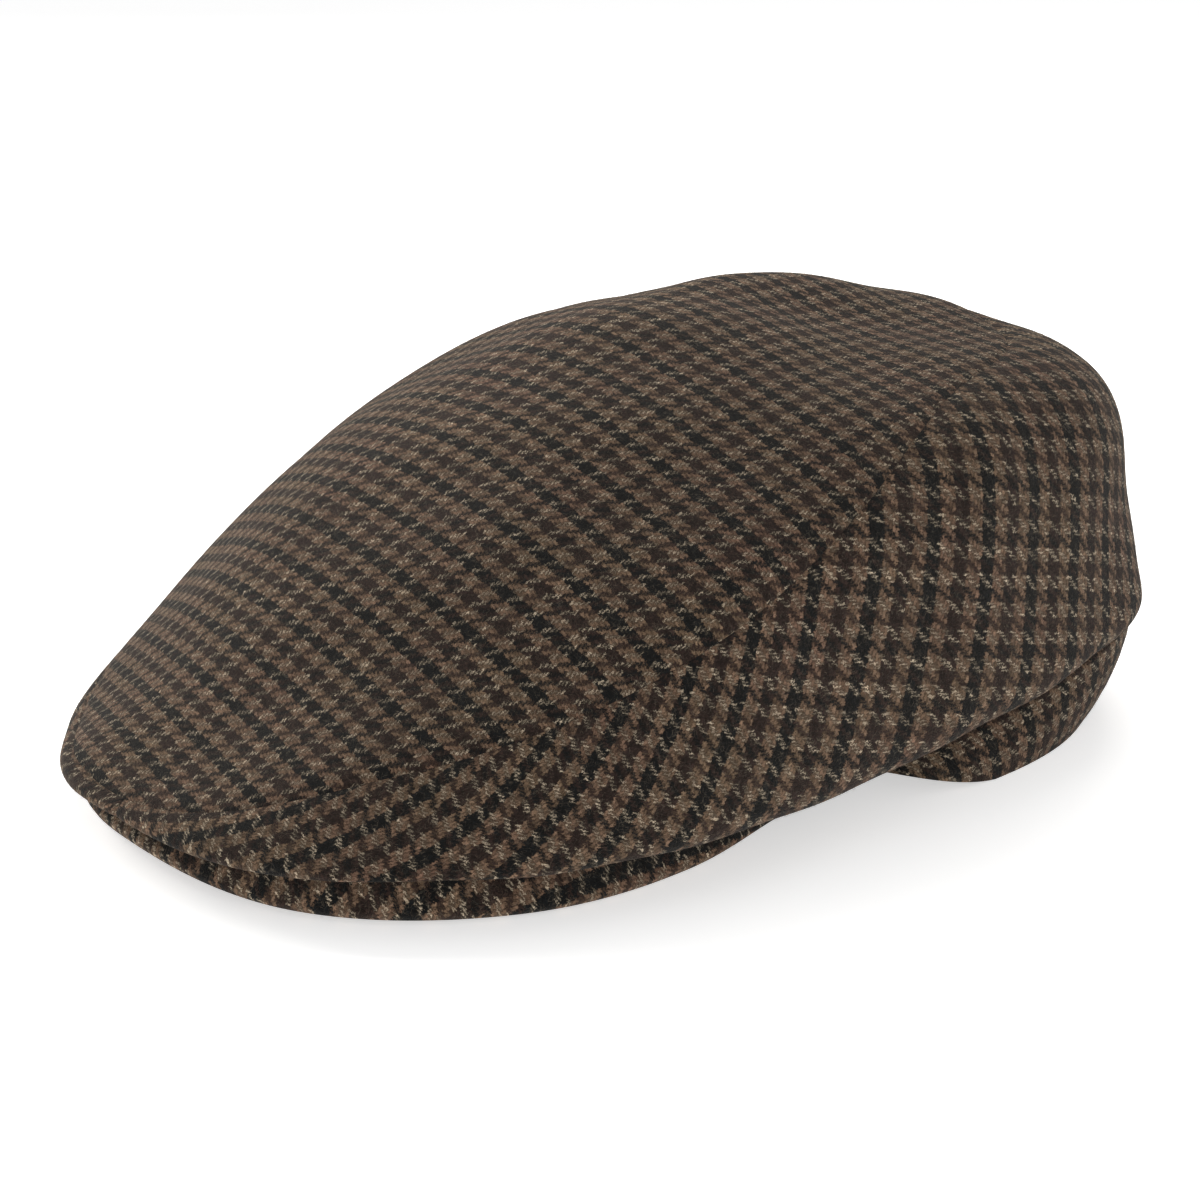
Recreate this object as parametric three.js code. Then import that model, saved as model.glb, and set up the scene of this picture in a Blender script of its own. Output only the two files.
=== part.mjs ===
import * as THREE from 'three';

// Flat cap in millimetres: +Z up, the front of the cap at -Y, the wearer's left at +X.
// The cap stands on the flat lower edge of its band at z = 0.

const CLOTH = 2.0;
const GAP = 0.4;
const POLE_Y = -0.45;
const POLE_Z = 105.5;
const POLE_SLOPE = -0.2;
const TOP_SHARE = 0.5;
const CENTRE_SEAM_TURN = 0.13;
const RIM_CLEAR = 0.8;
const SWELL_DROP = 2.8;
const BAND_BELLY = 2.2;
const BELLY_DEPTH = 22;
const PEAK_TURN = 80;
const PEAK_BOARD = 3.4;
const PEAK_LIP = 6.5;
const PEAK_RISE = 1.6;

// One row per crown section, read round from the front (0) to the back (180) on either side.
// topZ: height at half of the reach; hip, hipZ: where the crown turns down; reach, reachZ: widest point.
// rim, rimZ: lower edge of the crown; seam: top panel's edge, in quarters from pole to rim.
const CROWN_SECTIONS = [
  { topZ: 73.5, hip: 116.5, hipZ: 31.5, reach: 138.5, reachZ: 14.5, rim: 133.0, rimZ: 11.0, seam: 2.7 },
  { topZ: 76.5, hip: 107.5, hipZ: 38.0, reach: 130.5, reachZ: 14.5, rim: 123.5, rimZ: 13.0, seam: 2.25 },
  { topZ: 85.5, hip: 92.5, hipZ: 54.0, reach: 105.5, reachZ: 18.0, rim: 91.0, rimZ: 11.0, seam: 2.1 },
  { topZ: 94.5, hip: 81.5, hipZ: 70.0, reach: 92.0, reachZ: 22.0, rim: 77.0, rimZ: 9.0, seam: 1.94 },
  { topZ: 97.0, hip: 91.5, hipZ: 81.5, reach: 103.5, reachZ: 30.0, rim: 91.5, rimZ: 15.0, seam: 1.62 },
  { topZ: 99.0, hip: 116.5, hipZ: 87.5, reach: 130.5, reachZ: 38.0, rim: 132.0, rimZ: 28.5, seam: 1.5 },
  { topZ: 105.5, hip: 112.0, hipZ: 83.0, reach: 138.0, reachZ: 37.0, rim: 138.5, rimZ: 20.0, seam: 1.5 },
];

// One row per section of the head band.
// face, topZ: its part inside the crown; swell: just under the crown's rim; foot, footZ: lower edge.
const BAND_SECTIONS = [
  { face: 72.0, topZ: 17, swell: 72.0, foot: 72.0, footZ: 5 },
  { face: 71.0, topZ: 19, swell: 71.0, foot: 71.0, footZ: 5 },
  { face: 69.5, topZ: 18, swell: 69.5, foot: 69.5, footZ: 6 },
  { face: 72.5, topZ: 18, swell: 73.0, foot: 73.0, footZ: 12 },
  { face: 87.9, topZ: 21, swell: 91.0, foot: 94.5, footZ: 0 },
  { face: 127.9, topZ: 34, swell: 130.8, foot: 120.0, footZ: 0 },
  { face: 135.5, topZ: 29, swell: 136.8, foot: 132.5, footZ: 0 },
];
const SECTION_STEP = 180 / (CROWN_SECTIONS.length - 1);

// One row per section of the peak, from the centre front out to its ends.
// edge, edgeZ: outer edge of the board; crestZ: height of the board under the crown's rim.
const PEAK_SECTIONS = [
  { edge: 134.0, edgeZ: 6.0, crestZ: 9.4 },
  { edge: 130.0, edgeZ: 3.2, crestZ: 10.8 },
  { edge: 113.5, edgeZ: 1.5, crestZ: 11.2 },
  { edge: 89.5, edgeZ: 1.6, crestZ: 9.6 },
  { edge: 75.5, edgeZ: 6.2, crestZ: 8.2 },
];
const PEAK_STEP = PEAK_TURN / (PEAK_SECTIONS.length - 1);

// On the wearer's right the top panel comes further down at the front, by a drop in quarters.
const FRONT_SEAM = { turn: 336, drop: 0.4, turnSpread: 24 };

// Soft dents in the crown, and swells where the depth is negative.
const DENTS = [
  { turn: 184, quarter: 1.03, depth: 1.2, turnSpread: 10, quarterSpread: 0.25 },
  { turn: 170, quarter: 1.35, depth: -1.2, turnSpread: 9, quarterSpread: 0.2 },
  { turn: 157, quarter: 1.52, depth: 1.7, turnSpread: 9, quarterSpread: 0.2 },
  { turn: 150, quarter: 2.18, depth: -1.3, turnSpread: 12, quarterSpread: 0.25 },
  { turn: 146, quarter: 2.55, depth: 1.3, turnSpread: 12, quarterSpread: 0.2 },
  { turn: 232, quarter: 2.1, depth: 2.0, turnSpread: 16, quarterSpread: 0.35 },
];

function cubic(a, b, c, d, t) {
  const slopeIn = (c - a) / 2;
  const slopeOut = (d - b) / 2;
  const lift = 2 * b - 2 * c + slopeIn + slopeOut;
  const bend = 3 * c - 3 * b - 2 * slopeIn - slopeOut;
  return ((lift * t + bend) * t + slopeIn) * t + b;
}

function mirrored(rows, index) {
  const last = rows.length - 1;
  const period = 2 * last;
  const wrapped = ((index % period) + period) % period;
  return rows[wrapped <= last ? wrapped : period - wrapped];
}

function sectionValue(rows, column, turn) {
  const place = turn / SECTION_STEP;
  const row = Math.floor(place);
  const near = [-1, 0, 1, 2].map((k) => mirrored(rows, row + k)[column]);
  return cubic(...near, place - row);
}

function turnsFrom(turn, centre) {
  return (((turn - centre) % 360) + 540) % 360 - 180;
}

function seamQuarter(turn) {
  const far = (turnsFrom(turn, FRONT_SEAM.turn) / FRONT_SEAM.turnSpread) ** 2;
  return sectionValue(CROWN_SECTIONS, 'seam', turn) + FRONT_SEAM.drop * Math.exp(-far);
}

function peakValue(column, turn) {
  const last = PEAK_SECTIONS.length - 1;
  const place = Math.min(Math.abs(turn) / PEAK_STEP, last - 1e-6);
  const row = Math.floor(place);
  const near = [-1, 0, 1, 2].map((k) => PEAK_SECTIONS[Math.min(Math.abs(row + k), last)][column]);
  return cubic(...near, place - row);
}

function polar(turn, radius, z) {
  const angle = THREE.MathUtils.degToRad(turn);
  return new THREE.Vector3(radius * Math.sin(angle), POLE_Y - radius * Math.cos(angle), z);
}

// Heights and radii along one section of the crown, starting at the pole.
function profile(turn) {
  const reach = sectionValue(CROWN_SECTIONS, 'reach', turn);
  return [
    [0, POLE_Z],
    [TOP_SHARE * reach, sectionValue(CROWN_SECTIONS, 'topZ', turn)],
    [sectionValue(CROWN_SECTIONS, 'hip', turn), sectionValue(CROWN_SECTIONS, 'hipZ', turn)],
    [reach, sectionValue(CROWN_SECTIONS, 'reachZ', turn)],
    [sectionValue(CROWN_SECTIONS, 'rim', turn), sectionValue(CROWN_SECTIONS, 'rimZ', turn)],
  ];
}

function smoothCrownPoint(turn, quarter) {
  const knots = profile(turn);
  const last = knots.length - 1;
  const row = Math.min(Math.floor(quarter), last - 1);
  const [topR, topZ] = knots[1];
  const fall = POLE_SLOPE * Math.cos(THREE.MathUtils.degToRad(turn));
  const before = row === 0 ? [-topR, topZ - 2 * fall * topR] : knots[row - 1];
  const [start, end] = [knots[row], knots[row + 1]];
  const after = row + 2 > last ? [2 * end[0] - start[0], 2 * end[1] - start[1]] : knots[row + 2];
  const [radius, z] = [0, 1].map((k) => cubic(before[k], start[k], end[k], after[k], quarter - row));
  return polar(turn, radius, z);
}

function normalAt(surface, turn, quarter) {
  const [dTurn, dQuarter] = [0.5, 0.02];
  const low = Math.max(quarter - dQuarter, 0.03);
  const round = surface(turn + dTurn, low + dQuarter).sub(surface(turn - dTurn, low + dQuarter));
  const down = surface(turn, low + 2 * dQuarter).sub(surface(turn, low));
  return down.cross(round).normalize();
}

function dentDepth(turn, quarter) {
  let depth = 0;
  for (const dent of DENTS) {
    const turns = turnsFrom(turn, dent.turn) / dent.turnSpread;
    const far = turns ** 2 + ((quarter - dent.quarter) / dent.quarterSpread) ** 2;
    depth += dent.depth * Math.exp(-far);
  }
  return depth;
}

function crownPoint(turn, quarter) {
  const depth = quarter > 0.1 ? dentDepth(turn, quarter) : 0;
  return smoothCrownPoint(turn, quarter).addScaledVector(normalAt(smoothCrownPoint, turn, quarter), -depth);
}

function crownWallPoint(turn, quarter, depth) {
  const outward = quarter < 0.05 ? new THREE.Vector3(0, 0, 1) : normalAt(crownPoint, turn, quarter);
  return crownPoint(turn, quarter).addScaledVector(outward, -depth);
}

function quarterBeside(turn, quarter, distance) {
  const step = 0.01;
  const speed = crownPoint(turn, quarter + step).distanceTo(crownPoint(turn, quarter - step)) / (2 * step);
  return quarter + distance / speed;
}

// Collects a triangle mesh from a grid of outer points and a matching grid of inner points.
class Shell {
  constructor() {
    this.points = [];
    this.faces = [];
  }

  addPoint(point) {
    this.points.push(point.x, point.y, point.z);
    return this.points.length / 3 - 1;
  }

  addGrid(rows) {
    return rows.map((row) => row.map((point) => this.addPoint(point)));
  }

  quad(a, b, c, d) {
    this.faces.push(a, b, c, a, c, d);
  }

  skin(grid, closed, flipped) {
    const turns = grid.length - (closed ? 0 : 1);
    for (let i = 0; i < turns; i += 1) {
      const here = grid[i];
      const next = grid[(i + 1) % grid.length];
      for (let j = 0; j + 1 < here.length; j += 1) {
        const corners = [here[j], here[j + 1], next[j + 1], next[j]];
        this.quad(...(flipped ? corners.reverse() : corners));
      }
    }
  }

  strip(outer, inner, closed, flipped) {
    const spans = outer.length - (closed ? 0 : 1);
    for (let i = 0; i < spans; i += 1) {
      const next = (i + 1) % outer.length;
      const corners = [outer[i], inner[i], inner[next], outer[next]];
      this.quad(...(flipped ? corners.reverse() : corners));
    }
  }

  cap(pole, ring, flipped) {
    ring.forEach((point, i) => {
      const next = ring[(i + 1) % ring.length];
      this.faces.push(...(flipped ? [pole, next, point] : [pole, point, next]));
    });
  }

  geometry() {
    const geometry = new THREE.BufferGeometry();
    geometry.setAttribute('position', new THREE.Float32BufferAttribute(this.points, 3));
    geometry.setIndex(this.faces);
    geometry.computeVertexNormals();
    return geometry;
  }
}

function lastColumn(grid) {
  return grid.map((row) => row[row.length - 1]);
}

function firstColumn(grid) {
  return grid.map((row) => row[0]);
}

// Closes the four sides between an outer grid and the inner grid under it.
function closedPatch(outerRows, innerRows) {
  const shell = new Shell();
  const outer = shell.addGrid(outerRows);
  const inner = shell.addGrid(innerRows);
  shell.skin(outer, false, false);
  shell.skin(inner, false, true);
  shell.strip(lastColumn(outer), lastColumn(inner), false, false);
  shell.strip(firstColumn(outer), firstColumn(inner), false, true);
  shell.strip(outer[0], inner[0], false, false);
  shell.strip(outer[outer.length - 1], inner[inner.length - 1], false, true);
  return shell.geometry();
}

function topPanel(turns, rings) {
  const shell = new Shell();
  const wall = (depth) => Array.from({ length: turns }, (_, i) => {
    const turn = (360 * i) / turns;
    const seam = quarterBeside(turn, seamQuarter(turn), -GAP / 2);
    return Array.from({ length: rings }, (__, j) => crownWallPoint(turn, (seam * (j + 1)) / rings, depth));
  });
  const outer = shell.addGrid(wall(0));
  const inner = shell.addGrid(wall(CLOTH));
  shell.cap(shell.addPoint(crownWallPoint(0, 0, 0)), firstColumn(outer), false);
  shell.cap(shell.addPoint(crownWallPoint(0, 0, CLOTH)), firstColumn(inner), true);
  shell.skin(outer, true, false);
  shell.skin(inner, true, true);
  shell.strip(lastColumn(outer), lastColumn(inner), true, false);
  return shell.geometry();
}

function sidePanel(firstTurn, turns, rings) {
  const span = 180 - 2 * CENTRE_SEAM_TURN;
  const wall = (depth) => Array.from({ length: turns + 1 }, (_, i) => {
    const turn = firstTurn + CENTRE_SEAM_TURN + (span * i) / turns;
    const seam = quarterBeside(turn, seamQuarter(turn), GAP / 2);
    return Array.from({ length: rings + 1 }, (__, j) => (
      crownWallPoint(turn, seam + ((4 - seam) * j) / rings, depth)
    ));
  });
  return closedPatch(wall(0), wall(CLOTH));
}

function peakPoint(turn, share) {
  const edge = peakValue('edge', turn);
  const crest = peakValue('crestZ', turn);
  const root = sectionValue(BAND_SECTIONS, 'face', turn) + GAP;
  const lip = Math.min(PEAK_LIP, 0.5 * (edge - root));
  const board = edge - lip - root;
  const lipShare = 0.35;
  if (share < 1 - lipShare) {
    const inward = 1 - share / (1 - lipShare);
    return polar(turn, edge - lip - board * inward, crest + PEAK_RISE * Math.sin((Math.PI * inward) / 2));
  }
  const out = (share - 1 + lipShare) / lipShare;
  return polar(turn, edge - lip + lip * out, crest + (peakValue('edgeZ', turn) - crest) * out ** 1.6);
}

function peakBoard(turns, rings) {
  const wall = (offset) => Array.from({ length: turns + 1 }, (_, i) => {
    const turn = -PEAK_TURN + (2 * PEAK_TURN * i) / turns;
    return Array.from({ length: rings + 1 }, (__, j) => {
      const share = j / rings;
      const thin = share === 1 ? 0.6 : 1;
      return peakPoint(turn, share).add(new THREE.Vector3(0, 0, offset * thin));
    });
  });
  return closedPatch(wall(PEAK_BOARD / 2), wall(-PEAK_BOARD / 2));
}

// The band's outline on one section, from its upper edge down to its lower edge.
function bandProfile(turn) {
  const face = sectionValue(BAND_SECTIONS, 'face', turn);
  const rimZ = sectionValue(CROWN_SECTIONS, 'rimZ', turn);
  const footZ = Math.max(sectionValue(BAND_SECTIONS, 'footZ', turn), 0);
  const foot = sectionValue(BAND_SECTIONS, 'foot', turn);
  const swell = sectionValue(BAND_SECTIONS, 'swell', turn);
  const swellZ = Math.max(rimZ - SWELL_DROP, footZ + 1);
  const belly = BAND_BELLY * Math.min((swellZ - footZ) / BELLY_DEPTH, 1);
  return [
    [face, sectionValue(BAND_SECTIONS, 'topZ', turn)],
    [face, Math.max(rimZ - RIM_CLEAR, footZ + 2)],
    [swell, swellZ],
    [(swell + foot) / 2 + belly, (swellZ + footZ) / 2],
    [foot, footZ],
  ];
}

// The same outline moved in by the thickness of the cloth, level at its two edges.
function bandLining(outline) {
  const last = outline.length - 1;
  return outline.map(([radius, z], i) => {
    if (i === 0 || i === last) {
      return [radius - CLOTH, z];
    }
    const run = outline[i + 1][0] - outline[i - 1][0];
    const fall = outline[i - 1][1] - outline[i + 1][1];
    const length = Math.hypot(run, fall);
    return [radius - (CLOTH * fall) / length, z - (CLOTH * run) / length];
  });
}

function headBand(turns) {
  const shell = new Shell();
  const wall = (shape) => Array.from({ length: turns }, (_, i) => {
    const turn = (360 * i) / turns;
    return shape(bandProfile(turn)).map(([radius, z]) => polar(turn, radius, z));
  });
  const outer = shell.addGrid(wall((outline) => outline));
  const inner = shell.addGrid(wall(bandLining));
  shell.skin(outer, true, false);
  shell.skin(inner, true, true);
  shell.strip(lastColumn(outer), lastColumn(inner), true, false);
  shell.strip(firstColumn(outer), firstColumn(inner), true, true);
  return shell.geometry();
}

function clothMesh(name, geometry, shade) {
  const cloth = new THREE.MeshStandardMaterial({ color: shade, roughness: 0.95, metalness: 0 });
  cloth.name = `${name}_cloth`;
  const mesh = new THREE.Mesh(geometry, cloth);
  mesh.name = name;
  return mesh;
}

const flatCap = new THREE.Group();
flatCap.name = 'flat_cap';
flatCap.add(clothMesh('crown_top', topPanel(90, 9), 0x5a4b3e));
flatCap.add(clothMesh('side_left', sidePanel(0, 45, 8), 0x57483c));
flatCap.add(clothMesh('side_right', sidePanel(180, 45, 8), 0x57483c));
flatCap.add(clothMesh('peak', peakBoard(40, 7), 0x4f4237));
flatCap.add(clothMesh('band', headBand(72), 0x4a3d33));

export default flatCap;
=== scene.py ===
"""Flat cap in gun-club check wool: cloth panels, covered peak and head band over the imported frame."""

import logging
import math
from collections.abc import Callable
from dataclasses import dataclass, replace
from enum import Enum

import bpy
import numpy as np
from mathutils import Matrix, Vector


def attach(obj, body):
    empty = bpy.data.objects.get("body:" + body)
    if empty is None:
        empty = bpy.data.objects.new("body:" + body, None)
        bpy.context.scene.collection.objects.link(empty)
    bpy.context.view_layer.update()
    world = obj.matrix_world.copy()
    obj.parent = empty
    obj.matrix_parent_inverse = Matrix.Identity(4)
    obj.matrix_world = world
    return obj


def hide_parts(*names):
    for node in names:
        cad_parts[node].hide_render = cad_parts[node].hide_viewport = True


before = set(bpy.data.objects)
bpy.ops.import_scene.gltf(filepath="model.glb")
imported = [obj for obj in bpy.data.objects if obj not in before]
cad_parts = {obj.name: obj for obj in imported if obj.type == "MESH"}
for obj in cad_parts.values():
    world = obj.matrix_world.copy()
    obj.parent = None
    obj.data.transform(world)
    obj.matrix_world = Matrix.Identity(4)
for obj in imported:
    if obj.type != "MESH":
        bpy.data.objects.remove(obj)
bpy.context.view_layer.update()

LOG = logging.getLogger("flat_cap")
MM = 0.001
SEED = 41

# Cloth and seams, in millimetres
CLOTH = 2.0
TUCK_THIN = 1.3
EDGE_ROUND = 0.3
EDGE_ROWS = (0.0, 0.07, 0.2, 0.42, 0.75)
SEAM_GAP = 0.004
SEAM_DEPTH = 0.5
SEAM_WIDTH = 2.6
FUZZ_CLEAR = 2.2
NAP = 0.7


def cubic(a: np.ndarray, b: np.ndarray, c: np.ndarray, d: np.ndarray, t: np.ndarray) -> np.ndarray:
    """Catmull-Rom value between b and c at share t.

    Args:
        a, b, c, d: four neighbouring values or arrays of them.
        t: share of the way from b to c.

    Returns:
        The blended value, shaped like its inputs.
    """
    enter, leave = (c - a) / 2, (d - b) / 2
    return (((2 * b - 2 * c + enter + leave) * t + 3 * c - 3 * b - 2 * enter - leave) * t + enter) * t + b


def turns_from(turn: np.ndarray, centre: float) -> np.ndarray:
    """Signed degrees from a centre to each angle, the short way round."""
    return (np.asarray(turn, float) - centre + 180) % 360 - 180


def mirrored_column(rows: tuple, name: str, turn: np.ndarray) -> np.ndarray:
    """Value of one table column round the cap, the same on both sides.

    Args:
        rows: table rows from the front (0 degrees) to the back (180 degrees).
        name: the column.
        turn: angles in degrees.

    Returns:
        The column's value at each angle.
    """
    values = np.array([getattr(row, name) for row in rows])
    last = len(rows) - 1
    place = np.abs(turns_from(turn, 0.0)) / (180 / last)
    row = np.clip(np.floor(place), 0, last - 1).astype(int)
    near = [values[last - np.abs(last - np.abs(row + k))] for k in (-1, 0, 1, 2)]
    return cubic(*near, place - row)


@dataclass(frozen=True)
class CrownSection:
    """One section of the crown, in millimetres; seam is in quarters from the pole to the rim."""

    top_z: float
    hip: float
    hip_z: float
    reach: float
    reach_z: float
    rim: float
    rim_z: float
    seam: float


@dataclass(frozen=True)
class BandSection:
    """One section of the head band: its part inside the crown, its swell under the rim, its lower edge."""

    face: float
    top_z: float
    swell: float
    foot: float
    foot_z: float


@dataclass(frozen=True)
class PeakSection:
    """One section of the peak: outer edge, its height, and the height under the crown's rim."""

    edge: float
    edge_z: float
    crest_z: float


@dataclass(frozen=True)
class Fold:
    """A soft dent (positive depth) or swell (negative depth) in the crown cloth."""

    turn: float
    quarter: float
    depth: float
    turn_spread: float
    quarter_spread: float


CROWN = (
    CrownSection(73.5, 116.5, 31.5, 138.5, 14.5, 133.0, 11.0, 2.7),
    CrownSection(76.5, 107.5, 38.0, 130.5, 14.5, 123.5, 13.0, 2.25),
    CrownSection(85.5, 92.5, 54.0, 105.5, 18.0, 91.0, 11.0, 2.1),
    CrownSection(94.5, 81.5, 70.0, 92.0, 22.0, 77.0, 9.0, 1.94),
    CrownSection(97.0, 91.5, 81.5, 103.5, 30.0, 91.5, 15.0, 1.62),
    CrownSection(99.0, 116.5, 87.5, 130.5, 38.0, 132.0, 28.5, 1.5),
    CrownSection(105.5, 112.0, 83.0, 138.0, 37.0, 138.5, 20.0, 1.5),
)
BAND = (
    BandSection(72.0, 17.0, 72.0, 72.0, 5.0),
    BandSection(71.0, 19.0, 71.0, 71.0, 5.0),
    BandSection(69.5, 18.0, 69.5, 69.5, 6.0),
    BandSection(72.5, 18.0, 73.0, 73.0, 12.0),
    BandSection(87.9, 21.0, 91.0, 94.5, 0.0),
    BandSection(127.9, 34.0, 130.8, 120.0, 0.0),
    BandSection(135.5, 29.0, 136.8, 132.5, 0.0),
)
PEAK = (
    PeakSection(135.0, 4.8, 9.2),
    PeakSection(131.0, 2.0, 10.4),
    PeakSection(114.5, 1.2, 10.8),
    PeakSection(90.5, 1.2, 9.4),
    PeakSection(76.0, 5.0, 8.0),
)
FOLDS = (
    Fold(184, 1.03, 1.2, 10, 0.25),
    Fold(170, 1.35, -1.2, 9, 0.20),
    Fold(157, 1.52, 1.7, 9, 0.20),
    Fold(150, 2.18, -1.3, 12, 0.25),
    Fold(146, 2.55, 1.3, 12, 0.20),
    Fold(232, 2.10, 2.0, 16, 0.35),
)


@dataclass(frozen=True)
class Ripple:
    """Gentle unevenness of the cloth, made of a few long waves with a fixed seed."""

    height: float = 0.22
    waves: int = 9
    shortest: float = 26.0
    longest: float = 70.0

    def at(self, points: np.ndarray) -> np.ndarray:
        """Height of the unevenness at points in millimetres."""
        rng = np.random.default_rng(SEED)
        total = np.zeros(points.shape[:-1])
        for _ in range(self.waves):
            heading = rng.normal(size=3)
            heading /= np.linalg.norm(heading)
            length = rng.uniform(self.shortest, self.longest)
            total += np.sin(points @ heading * (2 * math.pi / length) + rng.uniform(0, 2 * math.pi))
        return total * self.height


class CrownForm:
    """The crown's outer surface, read by turn (degrees from the front) and quarter (pole 0, rim 4)."""

    RIM = 4.0
    POLE_Y = -0.45
    POLE_Z = 105.5
    POLE_SLOPE = -0.2
    TOP_SHARE = 0.5
    SEAM_TURN = 336.0
    SEAM_DROP = 0.4
    SEAM_SPREAD = 24.0
    FOLDS_START = 0.2
    TURN_STEP = 0.5
    QUARTER_STEP = 0.02
    POLE_CLEAR = 0.03
    SAMPLES = 160

    def __init__(self, ripple: Ripple) -> None:
        """Keeps the cloth's unevenness."""
        self.ripple = ripple

    def column(self, name: str, turn: np.ndarray) -> np.ndarray:
        """One crown table column at the given angles."""
        return mirrored_column(CROWN, name, turn)

    def seam(self, turn: np.ndarray) -> np.ndarray:
        """Where the top panel ends, in quarters; lower at the front on the wearer's right."""
        turns = turns_from(turn, self.SEAM_TURN)
        return self.column("seam", turn) + self.SEAM_DROP * np.exp(-((turns / self.SEAM_SPREAD) ** 2))

    def polar(self, turn: np.ndarray, radius: np.ndarray, z: np.ndarray) -> np.ndarray:
        """Points in millimetres at a turn, radius and height about the pole."""
        angle = np.radians(turn)
        return np.stack([radius * np.sin(angle), self.POLE_Y - radius * np.cos(angle), z + 0 * radius], -1)

    def smooth(self, turn: np.ndarray, quarter: np.ndarray) -> np.ndarray:
        """The surface before any fold, in millimetres."""
        turn, quarter = np.broadcast_arrays(np.asarray(turn, float), np.asarray(quarter, float))
        reach = self.column("reach", turn)
        radii = [0 * reach, self.TOP_SHARE * reach, self.column("hip", turn), reach, self.column("rim", turn)]
        heights = [0 * reach + self.POLE_Z]
        heights += [self.column(name, turn) for name in ("top_z", "hip_z", "reach_z", "rim_z")]
        fall = self.POLE_SLOPE * np.cos(np.radians(turn))
        radii = [-radii[1], *radii, 2 * radii[4] - radii[3]]
        heights = [heights[1] - 2 * fall * radii[2], *heights, 2 * heights[4] - heights[3]]
        row = np.clip(np.floor(quarter), 0, 3).astype(int)
        share = quarter - row
        radius, z = (
            cubic(*(np.take_along_axis(np.stack(knots), (row + k)[None], 0)[0] for k in range(4)), share)
            for knots in (radii, heights)
        )
        return self.polar(turn, radius, z)

    def normal(self, turn: np.ndarray, quarter: np.ndarray, surface: Callable) -> np.ndarray:
        """Outward unit normals of a surface function at the given places."""
        low = np.maximum(np.asarray(quarter, float) - self.QUARTER_STEP, self.POLE_CLEAR)
        middle = low + self.QUARTER_STEP
        around = surface(turn + self.TURN_STEP, middle) - surface(turn - self.TURN_STEP, middle)
        down = surface(turn, low + 2 * self.QUARTER_STEP) - surface(turn, low)
        normal = np.cross(down, around)
        return normal / np.linalg.norm(normal, axis=-1, keepdims=True)

    def sink(self, turn: np.ndarray, quarter: np.ndarray) -> np.ndarray:
        """How far the folds push the cloth in at the given places."""
        total = 0.0
        for fold in FOLDS:
            turns = turns_from(turn, fold.turn) / fold.turn_spread
            quarters = (quarter - fold.quarter) / fold.quarter_spread
            total = total + fold.depth * np.exp(-(turns**2 + quarters**2))
        return total * np.clip(quarter / self.FOLDS_START, 0, 1)

    def surface(self, turn: np.ndarray, quarter: np.ndarray) -> np.ndarray:
        """The finished outer surface with its nap, folds and unevenness, in millimetres."""
        points = self.smooth(turn, quarter)
        depth = self.sink(turn, quarter) + self.ripple.at(points) - NAP
        return points - self.normal(turn, quarter, self.smooth) * depth[..., None]

    def quarters_along(self, turn: float, first: float, last: float, places: Callable) -> tuple:
        """Quarter values at chosen distances along one section.

        Args:
            turn: the section's angle.
            first, last: quarter values at the two ends.
            places: gives the distances in millimetres from the section's length.

        Returns:
            The quarter values, and the section's length.
        """
        fine = np.linspace(first, last, self.SAMPLES)
        line = self.smooth(np.full(self.SAMPLES, turn), fine)
        run = np.concatenate([[0], np.cumsum(np.linalg.norm(np.diff(line, axis=0), axis=1))])
        return np.interp(places(run[-1]), run, fine), run[-1]


def edge_spacing(length: float, count: int, rounded_start: bool, rounded_end: bool) -> np.ndarray:
    """Distances along a section, close together where an edge is rounded.

    Args:
        length: the section's length in millimetres.
        count: how many evenly spaced places lie between the edges.
        rounded_start, rounded_end: which ends are rounded.

    Returns:
        Rising distances from 0 to length.
    """
    close = np.array(EDGE_ROWS) * EDGE_ROUND / EDGE_ROWS[-1]
    start = close if rounded_start else np.array([0.0])
    end = length - (close if rounded_end else np.array([0.0]))[::-1]
    middle = np.linspace(start[-1], end[0], count + 2)[1:-1]
    return np.concatenate([start, middle, end])


def rounding(distance: np.ndarray) -> np.ndarray:
    """How far a surface drops at a distance from a rounded edge."""
    near = np.clip(EDGE_ROUND - distance, 0, EDGE_ROUND)
    return EDGE_ROUND - np.sqrt(np.maximum(EDGE_ROUND**2 - near**2, 0))


def valley(distance: np.ndarray) -> np.ndarray:
    """How far the cloth is pulled in at a distance from a seam."""
    return SEAM_DEPTH * np.clip(1 - distance / SEAM_WIDTH, 0, 1) ** 2


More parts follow.
